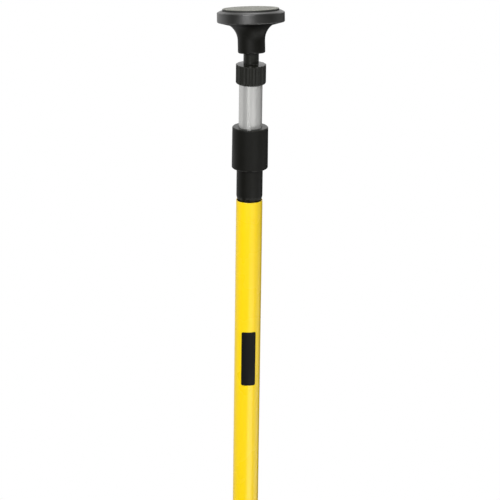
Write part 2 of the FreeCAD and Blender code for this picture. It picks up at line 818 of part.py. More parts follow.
def make_head(d, place):
    heading = math.radians(d.HeadHeading.value)
    lean_axis = FreeCAD.Vector(-math.sin(heading), math.cos(heading), 0)
    barrel, flange, pad = d.BarrelOuter / 2, d.FlangeOuter / 2, d.PadOuter / 2
    socket = d.SocketOuter / 2
    seat = d.BallDiameter / 2 + d.BallFit
    flare = d.TrumpetOuter / 2
    trumpet_top = d.BarrelRise + leg(d.TrumpetRadius, d.TrumpetRadius - flare + barrel)
    rim_low = trumpet_top + d.FlangeSlope
    rim_high = rim_low + d.FlangeRim
    top = rim_high + d.BevelHeight
    pad_floor = top + d.PadProud - d.PadThickness
    hollow_floor = trumpet_top + d.PlateWall
    hollow, pit = d.HollowOuter / 2, d.PitOuter / 2
    pit_floor = seat + d.PitFloor
    plate = turned(
        "head_plate",
        [
            (socket, -d.MouthDepth),
            (barrel - d.BarrelEdge, -d.MouthDepth),
            (barrel, d.BarrelEdge - d.MouthDepth),
            (barrel, d.BarrelRise),
            (flare, trumpet_top, d.TrumpetRadius, -1),
            (flange, rim_low),
            (flange, rim_high),
            (flange - d.BevelWidth, top),
            (pad + d.SeatFit, top),
            (pad + d.SeatFit, pad_floor),
            (hollow, pad_floor),
            (hollow, hollow_floor),
            (pit, hollow_floor),
            (pit, pit_floor),
            (0, pit_floor),
            (0, seat),
            (seat, 0, seat, -1),
            (socket, 0),
        ],
        place.ball,
        d.HeadTilt,
        lean_axis,
    )
    root = d.RibWidth / 2
    rib = radial_box(
        plate, "AdditiveBox", "rib", pit + root, hollow + root, d.RibWidth, hollow_floor - root, pad_floor
    )
    patterned(plate, rib, d.RibCount)

    lip = leg(seat, d.SocketDepth)
    ring_low = d.SocketRecess - d.MouthDepth
    socket_ring = turned(
        "socket_ring",
        [
            (lip, -d.SocketDepth, seat, -1),
            (d.SocketMouth / 2, ring_low),
            (socket - d.SeatFit, ring_low),
            (socket - d.SeatFit, -d.SeatFit),
            (leg(seat, d.SeatFit), -d.SeatFit),
        ],
        place.ball,
        d.HeadTilt,
        lean_axis,
    )
    disc = turned(
        "pad_disc",
        [
            (0, pad_floor + d.SeatFit),
            (pad, pad_floor + d.SeatFit),
            (pad, top + d.PadProud - d.PadEdge),
            (pad - d.PadEdge, top + d.PadProud),
            (0, top + d.PadProud),
        ],
        place.ball,
        d.HeadTilt,
        lean_axis,
    )
    return [plate, socket_ring, disc]


def check_document(pieces):
    doc.recompute()
    for thing in doc.Objects:
        if {"Invalid", "Error"} & set(thing.State):
            raise RuntimeError(f"{thing.Name} failed: {thing.State}")
    for piece in pieces:
        if piece.Shape.isNull() or not piece.Shape.isValid():
            raise RuntimeError(f"{piece.Label} has no valid shape")
        if piece.TypeId == "PartDesign::Body" and len(piece.Shape.Solids) != 1:
            raise RuntimeError(f"{piece.Label} is not one solid")


def write_steps(pieces):
    os.makedirs("parts", exist_ok=True)
    for piece in pieces:
        piece.Shape.exportStep(f"parts/{piece.Label}.step")


doc = FreeCAD.newDocument("SupportPole")
sizes = write_sheet()
places = make_places(sizes)
pieces = []
for maker in (
    make_foot,
    make_tubes,
    make_lock,
    make_slide_bush,
    make_guide,
    make_knob,
    make_spindle,
    make_ball,
    make_head,
):
    pieces += maker(sizes, places)
check_document(pieces)
write_steps(pieces)
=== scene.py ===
"""Looks of a telescopic support pole: tubes, twist lock, screw knob, leaning head, foot and stage."""

import json
import math
from collections import namedtuple
from functools import cache

import bmesh
import bpy
from bpy.props import FloatProperty, FloatVectorProperty, IntProperty, PointerProperty
from mathutils import Matrix, Vector


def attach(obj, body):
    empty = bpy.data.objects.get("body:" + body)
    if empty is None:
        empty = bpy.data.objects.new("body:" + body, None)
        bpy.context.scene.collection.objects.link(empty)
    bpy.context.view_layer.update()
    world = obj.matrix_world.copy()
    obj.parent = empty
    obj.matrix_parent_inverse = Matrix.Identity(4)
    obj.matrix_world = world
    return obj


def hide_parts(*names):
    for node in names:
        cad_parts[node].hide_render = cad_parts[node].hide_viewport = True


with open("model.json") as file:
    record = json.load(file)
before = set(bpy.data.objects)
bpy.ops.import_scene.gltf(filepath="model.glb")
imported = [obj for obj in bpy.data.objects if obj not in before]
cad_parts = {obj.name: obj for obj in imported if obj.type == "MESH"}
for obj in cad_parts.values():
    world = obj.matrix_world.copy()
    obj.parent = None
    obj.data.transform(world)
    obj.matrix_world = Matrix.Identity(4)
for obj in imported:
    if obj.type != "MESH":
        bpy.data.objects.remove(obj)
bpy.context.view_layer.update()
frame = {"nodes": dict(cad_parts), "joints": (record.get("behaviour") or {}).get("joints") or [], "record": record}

bl_info = {
    "name": "Telescopic Support Pole",
    "version": (1, 0, 0),
    "blender": (4, 5, 0),
    "location": "View3D > Sidebar > Support Pole",
    "description": "Dresses a telescopic support pole and sets up its stage",
    "category": "Object",
}

IMAGE_WIDTH = 500
UPRIGHT = Matrix.Identity(4)
EDGE_LAYER = "edge"
ARC_STEP = math.radians(10.0)
LEAST_ARC_STEPS = 3
SHARP_ANGLE = math.radians(40.0)
ON_AXIS = 1e-7
SAME_PLACE = 1e-7
VALUE = "NodeSocketFloat"
COLOUR = "NodeSocketColor"

# Sockets of the Mix node, by number, because it has sockets of the same name for each kind of data
MIX_VALUES, MIX_VALUE = (2, 3), 0
MIX_COLOURS, MIX_COLOUR = (6, 7), 2

# Stretches of a noise that are eased into masks and roughness
MOTTLE_SPAN = (0.3, 0.7)
RUBBED_SPAN = (0.42, 0.62)
SPECK_SPAN = (0.35, 0.7)
STREAK_SPAN = (0.35, 0.7)
HANDLED_SPAN = (0.45, 0.75)

# Stretches of a direction's share along an axis that are eased into masks
UPWARD_SPAN = (0.5, 0.95)
WHITE_SPAN = (0.5, 0.95)
BEHIND_SPAN = (-0.2, 0.6)
OVERHEAD_SPAN = (0.45, 0.8)

# A turned solid's least and greatest radius, lowest and highest point
Turned = namedtuple("Turned", "bore outer low high")

# A card only shows in reflections
Lamp = namedtuple("Lamp", "name heading distance level aim width height card")
LAMPS = (
    Lamp("key", heading=-13.0, distance=2.0, level=2.5, aim=1.45, width=1.0, height=0.7, card=False),
    Lamp("front", heading=-17.0, distance=1.6, level=1.19, aim=1.55, width=0.7, height=0.1, card=False),
    Lamp("panel", heading=32.0, distance=1.6, level=0.42, aim=0.9, width=1.4, height=0.84, card=True),
    Lamp("side", heading=95.0, distance=1.6, level=0.42, aim=0.9, width=1.6, height=0.84, card=True),
    Lamp("top", heading=180.0, distance=0.5, level=3.2, aim=0.0, width=0.6, height=2.0, card=False),
)


def turned_size(node, place=UPRIGHT):
    """The size of a solid about the upright axis of place."""
    to_place = place.inverted()
    points = [to_place @ vertex.co for vertex in frame["nodes"][node].data.vertices]
    radii = [math.hypot(point.x, point.y) for point in points]
    heights = [point.z for point in points]
    return Turned(min(radii), max(radii), min(heights), max(heights))


def head_place():
    """The head's own place: the ball's centre, with Z out of the pad."""
    hinge = next(joint for joint in frame["joints"] if joint["name"] == "head_tilt")
    pad = next(mount for mount in frame["record"]["mounts"] if mount["name"] == "ceiling_face")
    across = Vector(hinge["axis"]).normalized()
    up = Vector(pad["axis"]).normalized()
    turn = Matrix((across, up.cross(across), up)).transposed().to_4x4()
    return Matrix.Translation(hinge["pos_m"]) @ turn


def length_property(name, description, default):
    return FloatProperty(
        name=name,
        description=description,
        default=default,
        min=0.0,
        unit="LENGTH",
        subtype="DISTANCE",
        precision=4,
    )


def angle_property(name, description, degrees):
    return FloatProperty(
        name=name, description=description, default=math.radians(degrees), subtype="ANGLE"
    )


def light_property(name, description, default):
    return FloatProperty(name=name, description=description, default=default, min=0.0)


def colour_property(name, description, default):
    return FloatVectorProperty(
        name=name, description=description, default=default, size=4, min=0.0, max=1.0, subtype="COLOR"
    )


def power_property(name, description, default):
    return FloatProperty(name=name, description=description, default=default, min=0.0, unit="POWER")


class SUPPORTPOLE_PG_shapes(bpy.types.PropertyGroup):
    """Sizes of the moulded and turned forms."""

    segments: IntProperty(
        name="Segments", description="Faces round a turned piece", default=128, min=24
    )
    moulded_edge: length_property("Moulded Edge", "Rounding of the edges of moulded pieces", 0.0007)
    metal_edge: length_property("Metal Edge", "Rounding of the edges of cut tube", 0.00022)
    collar_edge: length_property("Collar Edge", "Rounding of the collar's rims", 0.0011)
    collar_taper: length_property("Collar Taper", "How much narrower the collar's top is in radius", 0.0002)
    collar_cap: length_property("Collar Cap", "Thickness of the collar's top", 0.004)
    neck_rise: length_property("Neck Rise", "Lock body's shoulder above the collar's lower edge", 0.001)
    ferrule_radius: length_property("Ferrule Radius", "Radius of the lock body below the collar", 0.0124)
    ferrule_inset: length_property("Ferrule Inset", "How far the lock body draws in at its seam", 0.0021)
    ferrule_round: length_property("Ferrule Round", "Radius in which the lock body draws in", 0.0076)
    throat_depth: length_property("Throat Depth", "Depth of the groove inside the yellow tube's lip", 0.003)
    seam_drop: length_property("Seam Drop", "Drop of the yellow tube's lip below its solid's end", 0.0012)
    thread_clearance: length_property("Thread Clearance", "Gap round what collar and knob turn on", 0.00025)
    flutes: IntProperty(name="Flutes", description="Grooves round the knob", default=16, min=3)
    flute_radius: length_property("Flute Radius", "Radius of a groove in the knob", 0.0019)
    flute_depth: length_property("Flute Depth", "Depth of a groove in the knob", 0.0009)
    knob_lower_edge: length_property("Knob Lower Edge", "Rounding of the knob's lower rim", 0.0022)
    knob_crown: length_property("Knob Crown", "Fall of the knob's top from its hole to its rim", 0.0005)
    neck_seat: length_property("Neck Seat", "Gap between the spindle's neck and the knob", 0.0003)
    rod_radius: length_property("Rod Radius", "Radius of the spindle's thread", 0.006)
    rod_flat: length_property("Rod Flat", "Half width across the spindle's flats", 0.005)
    flat_length: length_property("Flat Length", "Length of the spindle's flats", 0.0505)
    thread_pitch: length_property("Thread Pitch", "Pitch of the spindle's thread", 0.003)
    thread_depth: length_property("Thread Depth", "Depth of the spindle's thread", 0.0011)
    waist_radius: length_property("Waist Radius", "Radius of the spindle under the ball", 0.0048)
    waist_taper: length_property("Waist Taper", "Length of the taper from neck to waist", 0.003)
    spigot_radius: length_property("Ball Spigot", "Radius of the spindle inside the ball", 0.0031)


class SUPPORTPOLE_PG_head(bpy.types.PropertyGroup):
    """Sizes of the head, the pad and the foot."""

    barrel_radius: length_property("Barrel Radius", "Radius of the barrel round the ball", 0.01275)
    barrel_rise: length_property("Barrel Rise", "Straight barrel above the ball's centre", 0.0008)
    mouth_edge: length_property("Mouth Edge", "Rounding of the barrel's mouth", 0.0014)
    trumpet: length_property("Trumpet", "Radius of the curve from barrel to rim", 0.017)
    trumpet_reach: length_property("Trumpet Reach", "Radius of the head at the top of the trumpet", 0.0199)
    rim_slope: length_property("Rim Slope", "Rise of the underside out to the rim", 0.003)
    rim_height: length_property("Rim Height", "Height of the rim's upright face", 0.0091)
    bevel_width: length_property("Bevel Width", "Width of the bevel above the rim", 0.003)
    rim_edge: length_property("Rim Edge", "Rounding of the rim's edges", 0.0011)
    hollow_radius: length_property("Hollow Radius", "Radius of the hollow under the pad", 0.023)
    hollow_floor: length_property("Hollow Floor", "Floor of the hollow above the ball's centre", 0.01866)
    seat_gap: length_property("Seat Gap", "Gap round pieces that are seated", 0.00005)
    ball_gap: length_property("Ball Gap", "Gap round the ball in its seat", 0.00015)
    pad_edge: length_property("Pad Edge", "Rounding of the pad's edges", 0.0009)
    boot_sleeve: length_property("Boot Sleeve", "Radius of the rubber foot's sleeve", 0.0165)
    boot_edge: length_property("Boot Edge", "Height of the rubber foot's base edge", 0.005)
    boot_round: length_property("Boot Round", "Radius between the rubber foot's base and sleeve", 0.008)
    boot_lip: length_property("Boot Lip", "Rounding of the rubber foot's rims", 0.0015)
    tread_depth: length_property("Tread Depth", "Depth of the rings under the rubber foot", 0.0012)
    tread_width: length_property("Tread Width", "Width of the rings under the rubber foot", 0.0025)
    tread_inner: length_property("Inner Tread", "Inner radius of the small tread ring", 0.008)
    tread_outer: length_property("Outer Tread", "Inner radius of the large tread ring", 0.016)


class SUPPORTPOLE_PG_label(bpy.types.PropertyGroup):
    """Sizes of the blank label."""

    width: length_property("Width", "Width round the tube", 0.0143)
    height: length_property("Height", "Height along the tube", 0.055)
    drop: length_property("Drop", "Distance of the label's top below the tube's upper end", 0.1314)
    corner: length_property("Corner", "Rounding of the corners", 0.0016)
    film: length_property("Film", "Thickness of the film", 0.00012)
    lift: length_property("Lift", "Height of the film's underside above the coat", 0.00001)
    heading: angle_property("Heading", "Turn of the label to the right of the front", 5.6)


class SUPPORTPOLE_PG_finishes(bpy.types.PropertyGroup):
    """Colours of the pieces."""

    yellow: colour_property("Yellow Coat", "Coat of the outer tube", (0.86, 0.60, 0.001, 1.0))
    yellow_worn: colour_property("Worn Coat", "Thin coat along the tube's cut edge", (0.95, 0.78, 0.2, 1.0))
    zinc: colour_property("Zinc", "Plating of the inner tube", (0.56, 0.56, 0.545, 1.0))
    zinc_dull: colour_property("Dull Zinc", "Duller streaks in the plating", (0.5, 0.5, 0.485, 1.0))
    nylon: colour_property("Black Nylon", "Moulded lock and head", (0.0048, 0.0048, 0.0034, 1.0))
    knob: colour_property("Knob Nylon", "Adjusting knob", (0.0085, 0.009, 0.006, 1.0))
    # A lighter copy of the head's nylon colour, painted so that the rim shows a highlight
    rim: colour_property("Rim Nylon", "Rim of the head, rubbed by boards", (0.0075, 0.0076, 0.006, 1.0))
    nylon_rubbed: colour_property("Rubbed Nylon", "Rubbed edges of the mouldings", (0.05, 0.05, 0.047, 1.0))
    oxide: colour_property("Black Oxide", "Spindle", (0.011, 0.0115, 0.009, 1.0))
    oxide_rubbed: colour_property("Rubbed Steel", "Bright steel on the spindle's edges", (0.2, 0.2, 0.2, 1.0))
    pad: colour_property("Pad Rubber", "Pad on the head", (0.03, 0.03, 0.027, 1.0))
    boot: colour_property("Foot Rubber", "Rubber foot", (0.014, 0.014, 0.014, 1.0))
    # Thin dust on most pieces. On the pad's top this pale colour is a painted sheen, standing in for its
    # reflection of the white surroundings.
    dust: colour_property("Dust", "Pale dust on faces that look up", (0.437, 0.438, 0.375, 1.0))
    film: colour_property("Label Film", "Blank label", (0.006, 0.006, 0.006, 1.0))
    film_scuff: colour_property("Scuffed Film", "Scuffs on the label", (0.03, 0.03, 0.03, 1.0))
    acetal: colour_property("Acetal", "Collet, wedge ring, ball and slide bush", (0.72, 0.71, 0.66, 1.0))
    acetal_shade: colour_property("Handled Acetal", "Greyer patches of the acetal", (0.5, 0.49, 0.45, 1.0))
    steel: colour_property("Bright Steel", "Pins, washers and screws", (0.58, 0.58, 0.58, 1.0))
    steel_dull: colour_property("Dull Steel", "Duller patches of the pins and screws", (0.4, 0.4, 0.39, 1.0))
    brass: colour_property("Brass", "Nut in the knob", (0.7, 0.47, 0.16, 1.0))
    brass_dull: colour_property("Dull Brass", "Tarnish on the nut", (0.42, 0.27, 0.09, 1.0))


class SUPPORTPOLE_PG_stage(bpy.types.PropertyGroup):
    """Camera, lamps and floor."""

    camera_distance: length_property("Camera Distance", "Camera's distance in front of the pole", 1.997)
    camera_height: length_property("Camera Height", "Camera's height above the floor", 2.074)
    camera_side: length_property("Camera Side", "Camera's shift to the right of the pole", 0.0013)
    aim_height: length_property("Aim Height", "Height on the pole that the camera looks at", 1.4097)
    focal_pixels: FloatProperty(
        name="Focal Length",
        description="Focal length in pixels of the square picture",
        default=2200.0,
        subtype="PIXEL",
    )
    roll: angle_property("Roll", "Turn of the camera about its view", 0.76)
    floor_size: length_property("Floor Size", "Side of the floor", 80.0)
    shadow_reach: length_property("Shadow Reach", "Distance from the foot at which the floor is white", 1.4)
    foot_white: light_property("White at the Foot", "Share of white in the floor close to the foot", 0.3)
    floor_light: light_property("Floor Light", "Brightness of the floor in reflections", 0.06)
    white_heading: angle_property("White Heading", "Where reflections show a white floor", -125.0)
    white_light: light_property("White Light", "Brightness of that white floor in reflections", 0.8)
    front_light: light_property("Front Light", "Brightness of the room in front in reflections", 0.06)
    overhead_share: light_property("Overhead Share", "Share of the room's brightness left overhead", 0.1)
    ambient: light_property("Ambient", "Light of the surroundings", 0.58)
    floor_colour: colour_property("Floor", "Pale floor", (0.85, 0.85, 0.85, 1.0))
    key_power: power_property("Key", "Soft lamp high in front, to the left", 37.0)
    panel_power: power_property("Panel", "Low pale card in front, on the right", 16.0)
    side_power: power_property("Side", "Low pale card on the right", 8.0)
    front_power: power_property("Front", "Narrow soft lamp in front, lower than the knob", 1.6)
    top_power: power_property("Top", "Long soft lamp overhead, a little behind the pole", 10.0)


def rounded_outline(corners, closed):
    """Points (radius, height, edge) along corners (radius, height, rounding).

    Edge is 1 on rounded outer edges. The solid lies on the left of the way that the outline runs."""
    points = []
    for index, (radius, height, rounding) in enumerate(corners):
        corner = Vector((radius, height))
        inside = closed or 0 < index < len(corners) - 1
        if rounding == 0.0 or not inside:
            points.append((radius, height, 0.0))
            continue
        before = Vector(corners[index - 1][:2])
        after = Vector(corners[(index + 1) % len(corners)][:2])
        way_in = (corner - before).normalized()
        way_out = (after - corner).normalized()
        turn = way_in.angle_signed(way_out)
        reach = min((corner - before).length, (after - corner).length)
        cut = min(rounding * math.tan(abs(turn) / 2), reach)
        arc_radius = cut / math.tan(abs(turn) / 2)
        left = Vector((-way_in.y, way_in.x))
        side = 1.0 if way_in.cross(way_out) > 0 else -1.0
        centre = corner - way_in * cut + left * arc_radius * side
        steps = max(LEAST_ARC_STEPS, math.ceil(abs(turn) / ARC_STEP))
        for step in range(steps + 1):
            swing = abs(turn) * step / steps
            spoke = -left * side * math.cos(swing) + way_in * math.sin(swing)
            place = centre + spoke * arc_radius
            edge = 1.0 if side > 0 and 0 < step < steps else 0.0
            points.append((place.x, place.y, edge))
    pairs = zip(points, points[-1:] + points)
    return [point for point, last in pairs if math.dist(point[:2], last[:2]) > SAME_PLACE]


def turned_mesh(corners, segments, closed=True, place=UPRIGHT, shaped=None):
    """A mesh turned from corners (radius, height, rounding), as a ring or from axis to axis.

    Shaped gives the radius that a point takes at its angle, radius and height."""
    mesh = bmesh.new()
    layer = mesh.verts.layers.float.new(EDGE_LAYER)
    rings = []
    for radius, height, edge in rounded_outline(corners, closed):
        ring = []
        for index in range(1 if radius < ON_AXIS else segments):
            angle = 2 * math.pi * index / segments
            reach = shaped(angle, radius, height) if shaped else radius
            local = Vector((reach * math.cos(angle), reach * math.sin(angle), height))
            vertex = mesh.verts.new(place @ local)
            vertex[layer] = edge
            ring.append(vertex)
        rings.append(ring)
    pairs = list(zip(rings, rings[1:] + rings[:1]))
    for low, high in pairs if closed else pairs[:-1]:
        for index in range(segments):
            following = (index + 1) % segments
            face = [low[index % len(low)], low[following % len(low)]]
            face += [high[following % len(high)], high[index % len(high)]]
            distinct = list(dict.fromkeys(face))
            if len(distinct) > 2:
                mesh.faces.new(distinct)
    bmesh.ops.recalc_face_normals(mesh, faces=mesh.faces)
    return mesh


def add_piece(name, mesh, material, body, stands_for=()):
    """Makes a smooth-shaded object of mesh that rides on body and stands for the solids named."""
    data = bpy.data.meshes.new(name)
    mesh.to_mesh(data)
    mesh.free()
    data.polygons.foreach_set("use_smooth", [True] * len(data.polygons))
    data.set_sharp_from_angle(angle=SHARP_ANGLE)
    data.materials.append(material)
    piece = bpy.data.objects.new(name, data)
    bpy.context.scene.collection.objects.link(piece)
    normals = piece.modifiers.new("Even normals", "WEIGHTED_NORMAL")
    normals.keep_sharp = True
    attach(piece, body)
    if stands_for:
        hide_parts(*stands_for)
    return piece


def add_node(tree, kind, **settings):
    node = tree.nodes.new(kind)
    for setting, value in settings.items():
        setattr(node, setting, value)
    return node


def new_group(name, inputs, outputs):
    """An empty shader group with its sockets, and its two end nodes."""
    group = bpy.data.node_groups.new(name, "ShaderNodeTree")
    for socket, kind, default in inputs:
        made = group.interface.new_socket(socket, in_out="INPUT", socket_type=kind)
        made.default_value = default
    for socket, kind in outputs:
        group.interface.new_socket(socket, in_out="OUTPUT", socket_type=kind)
    return group, group.nodes.new("NodeGroupInput"), group.nodes.new("NodeGroupOutput")


def feed(tree, socket, value):
    """Links value to the socket if it is a socket too, and sets it there if it is a number or a colour."""
    if isinstance(value, bpy.types.NodeSocket):
        tree.links.new(value, socket)
    else:
        socket.default_value = value


def noise_node(tree, coordinates, scale, detail, roughness=0.5):
    noise = add_node(tree, "ShaderNodeTexNoise")
    settings = {"Vector": coordinates, "Scale": scale, "Detail": detail, "Roughness": roughness}
    for name, value in settings.items():
        feed(tree, noise.inputs[name], value)
    return noise.outputs["Fac"]


def math_node(tree, operation, first, second):
    node = add_node(tree, "ShaderNodeMath", operation=operation)
    for socket, value in zip(node.inputs, (first, second)):
        feed(tree, socket, value)
    return node.outputs["Value"]


def range_node(tree, value, span, to=(0.0, 1.0)):
    """The value eased from the stretch span to the stretch to."""
    node = add_node(tree, "ShaderNodeMapRange", interpolation_type="SMOOTHSTEP")
    for name, number in zip(("From Min", "From Max", "To Min", "To Max"), (*span, *to)):
        node.inputs[name].default_value = number
    tree.links.new(value, node.inputs["Value"])
    return node.outputs["Result"]


def mix_node(tree, kind, sockets, factor, first, second):
    node = add_node(tree, "ShaderNodeMix", data_type=kind)
    tree.links.new(factor, node.inputs["Factor"])
    for number, value in zip(sockets, (first, second)):
        feed(tree, node.inputs[number], value)
    return node.outputs


def blend_colours(tree, factor, first, second):
    return mix_node(tree, "RGBA", MIX_COLOURS, factor, first, second)[MIX_COLOUR]


def blend_values(tree, factor, first, second):
    return mix_node(tree, "FLOAT", MIX_VALUES, factor, first, second)[MIX_VALUE]


def object_coordinates(tree):
    return add_node(tree, "ShaderNodeTexCoord").outputs["Object"]


@cache
def grain_group():
    """Fine moulded grain as a height, and a broad mottle."""
    group, start, end = new_group(
        "moulded_grain",
        [("Grain Scale", VALUE, 2600.0), ("Mottle Scale", VALUE, 60.0)],
        [("Height", VALUE), ("Mottle", VALUE)],
    )
    spot = object_coordinates(group)
    fine = noise_node(group, spot, start.outputs["Grain Scale"], detail=2.0, roughness=0.6)
    cells = add_node(group, "ShaderNodeTexVoronoi", feature="SMOOTH_F1")
    group.links.new(spot, cells.inputs["Vector"])
    group.links.new(start.outputs["Grain Scale"], cells.inputs["Scale"])
    height = math_node(group, "ADD", fine, cells.outputs["Distance"])
    group.links.new(height, end.inputs["Height"])
    broad = noise_node(group, spot, start.outputs["Mottle Scale"], detail=3.0)
    group.links.new(broad, end.inputs["Mottle"])
    return group


@cache
def rub_group():
    """Colour that is rubbed in patches along the rounded edges of a piece."""
    group, start, end = new_group(
        "rubbed_edges",
        [
            ("Color", COLOUR, (0.0, 0.0, 0.0, 1.0)),
            ("Rubbed Color", COLOUR, (1.0, 1.0, 1.0, 1.0)),
            ("Patch Scale", VALUE, 220.0),
            ("Amount", VALUE, 0.5),
        ],
        [("Color", COLOUR)],
    )
    edge = add_node(group, "ShaderNodeAttribute", attribute_name=EDGE_LAYER)
    spot = object_coordinates(group)
    patches = noise_node(group, spot, start.outputs["Patch Scale"], detail=4.0, roughness=0.65)
    broken = range_node(group, patches, RUBBED_SPAN)
    mask = math_node(group, "MULTIPLY", edge.outputs["Fac"], broken)
    share = math_node(group, "MULTIPLY", mask, start.outputs["Amount"])
    colour = blend_colours(group, share, start.outputs["Color"], start.outputs["Rubbed Color"])
    group.links.new(colour, end.inputs["Color"])
    return group


@cache
def dust_and_sheen_group():
    """Colour with a pale cover on faces that look up, and the mask of those faces. The cover is thin dust where
    its amount is small. Where it is strong, as on the pad's top, it is a painted sheen standing in for a
    reflection of the white surroundings.
    """
    group, start, end = new_group(
        "settled_dust",
        [
            ("Color", COLOUR, (0.0, 0.0, 0.0, 1.0)),
            ("Dust Color", COLOUR, (0.4, 0.4, 0.4, 1.0)),
            ("Speck Scale", VALUE, 900.0),
            ("Amount", VALUE, 0.2),
        ],
        [("Color", COLOUR), ("Upward", VALUE)],
    )
    facing = add_node(group, "ShaderNodeSeparateXYZ")
    group.links.new(add_node(group, "ShaderNodeNewGeometry").outputs["Normal"], facing.inputs["Vector"])
    upward = range_node(group, facing.outputs["Z"], UPWARD_SPAN)
    spot = object_coordinates(group)
    specks = noise_node(group, spot, start.outputs["Speck Scale"], detail=5.0, roughness=0.7)
    patches = range_node(group, specks, SPECK_SPAN, to=(0.25, 1.0))
    dust_and_sheen_cover = math_node(group, "MULTIPLY", upward, patches)
    share = math_node(group, "MULTIPLY", dust_and_sheen_cover, start.outputs["Amount"])
    # Pale cover on upward faces: thin dust where the amount is small, painted sheen where it is large
    colour = blend_colours(group, share, start.outputs["Color"], start.outputs["Dust Color"])
    group.links.new(colour, end.inputs["Color"])
    group.links.new(upward, end.inputs["Upward"])
    return group


@cache
def drawn_group():
    """Fine lines along the pole, as on drawn tube: a height for the bump and a streak for the tone."""
    group, start, end = new_group(
        "drawn_lines",
        [("Line Scale", VALUE, 2200.0), ("Streak Scale", VALUE, 440.0), ("Stretch", VALUE, 0.008)],
        [("Height", VALUE), ("Streak", VALUE)],
    )
    stretch = add_node(group, "ShaderNodeCombineXYZ")
    stretch.inputs["X"].default_value = 1.0
    stretch.inputs["Y"].default_value = 1.0
    group.links.new(start.outputs["Stretch"], stretch.inputs["Z"])
    drawn = add_node(group, "ShaderNodeVectorMath", operation="MULTIPLY")
    group.links.new(object_coordinates(group), drawn.inputs[0])
    group.links.new(stretch.outputs["Vector"], drawn.inputs[1])
    for scale, result in (("Line Scale", "Height"), ("Streak Scale", "Streak")):
        lines = noise_node(group, drawn.outputs["Vector"], start.outputs[scale], detail=3.0, roughness=0.6)
        group.links.new(lines, end.inputs[result])
    return group


def finishes():
    return bpy.context.scene.support_pole_finishes


def new_material(name):
    material = bpy.data.materials.new(name)
    material.use_nodes = True
    tree = material.node_tree
    return material, tree, tree.nodes["Principled BSDF"]


def place_group(tree, group, **values):
    """The group as a node. Values are numbers, colours or sockets, named after its inputs."""
    node = add_node(tree, "ShaderNodeGroup", node_tree=group)
    for name, value in values.items():
        feed(tree, node.inputs[name.replace("_", " ").title()], value)
    return node


def bump(tree, shader, height, strength, distance):
    node = add_node(tree, "ShaderNodeBump")
    node.inputs["Strength"].default_value = strength
    node.inputs["Distance"].default_value = distance
    tree.links.new(height, node.inputs["Height"])
    tree.links.new(node.outputs["Normal"], shader.inputs["Normal"])


def moulded_material(
    name, colour, rubbed, smooth, rough, specular, grain, dust_and_sheen=0.1, rub=0.45, top=None
):
    """Black moulded plastic or rubber: fine grain, rubbed edges, and a pale cover on faces that look up, which is
    a little dust where thin and a painted sheen where strong, as on the pad.

    Top is the roughness of faces that look up."""
    material, tree, shader = new_material(name)
    surface = place_group(tree, grain_group(), grain_scale=grain, mottle_scale=70.0)
    edges = place_group(
        tree, rub_group(), color=colour, rubbed_color=rubbed, patch_scale=260.0, amount=rub
    )
    # Pale cover on upward faces: dust where its amount is small, painted sheen where it is large
    dust_and_sheen_cover = place_group(
        tree, dust_and_sheen_group(), color=edges.outputs["Color"], dust_color=finishes().dust, amount=dust_and_sheen
    )
    tree.links.new(dust_and_sheen_cover.outputs["Color"], shader.inputs["Base Color"])
    roughness = range_node(tree, surface.outputs["Mottle"], MOTTLE_SPAN, to=(smooth, rough))
    if top is not None:
        roughness = blend_values(tree, dust_and_sheen_cover.outputs["Upward"], roughness, top)
    tree.links.new(roughness, shader.inputs["Roughness"])
    bump(tree, shader, surface.outputs["Height"], strength=0.2, distance=0.00002)
    shader.inputs["Specular IOR Level"].default_value = specular
    return material


@cache
def nylon_material():
    look = finishes()
    return moulded_material(
        "grained_nylon", look.nylon, look.nylon_rubbed,
        smooth=0.44, rough=0.54, specular=0.18, grain=2600.0, dust_and_sheen=0.03, top=0.2,
    )


def knob_material():
    look = finishes()
    return moulded_material(
        "handled_nylon", look.knob, look.nylon_rubbed,
        smooth=0.46, rough=0.58, specular=0.35, grain=2200.0, dust_and_sheen=0.03, top=0.15,
    )


def rim_highlight_material():
    """Nylon of the rim: a lighter, shinier copy of the head's nylon, so that the key lamp gives the rim a strong
    highlight that the rest of the head lacks. This is a painted highlight.
    """
    look = finishes()
    material = moulded_material(
        "rubbed_rim", look.rim, look.nylon_rubbed,
        smooth=0.36, rough=0.42, specular=1.0, grain=2600.0, dust_and_sheen=0.02,
    )
    shader = material.node_tree.nodes["Principled BSDF"]
    shader.inputs["Coat Weight"].default_value = 0.3
    shader.inputs["Coat Roughness"].default_value = 0.42
    return material


def yellow_material():
    """Powder coat: saturated yellow with a faint orange peel and a thin, paler cut edge."""
    look = finishes()
    material, tree, shader = new_material("powder_coat")
    peel = place_group(tree, grain_group(), grain_scale=420.0, mottle_scale=18.0)
    edges = place_group(
        tree, rub_group(), color=look.yellow, rubbed_color=look.yellow_worn, patch_scale=150.0, amount=0.7
    )
    tree.links.new(edges.outputs["Color"], shader.inputs["Base Color"])
    roughness = range_node(tree, peel.outputs["Mottle"], MOTTLE_SPAN, to=(0.24, 0.32))
    tree.links.new(roughness, shader.inputs["Roughness"])
    bump(tree, shader, peel.outputs["Height"], strength=0.12, distance=0.00006)
    shader.inputs["Specular IOR Level"].default_value = 0.3
    return material


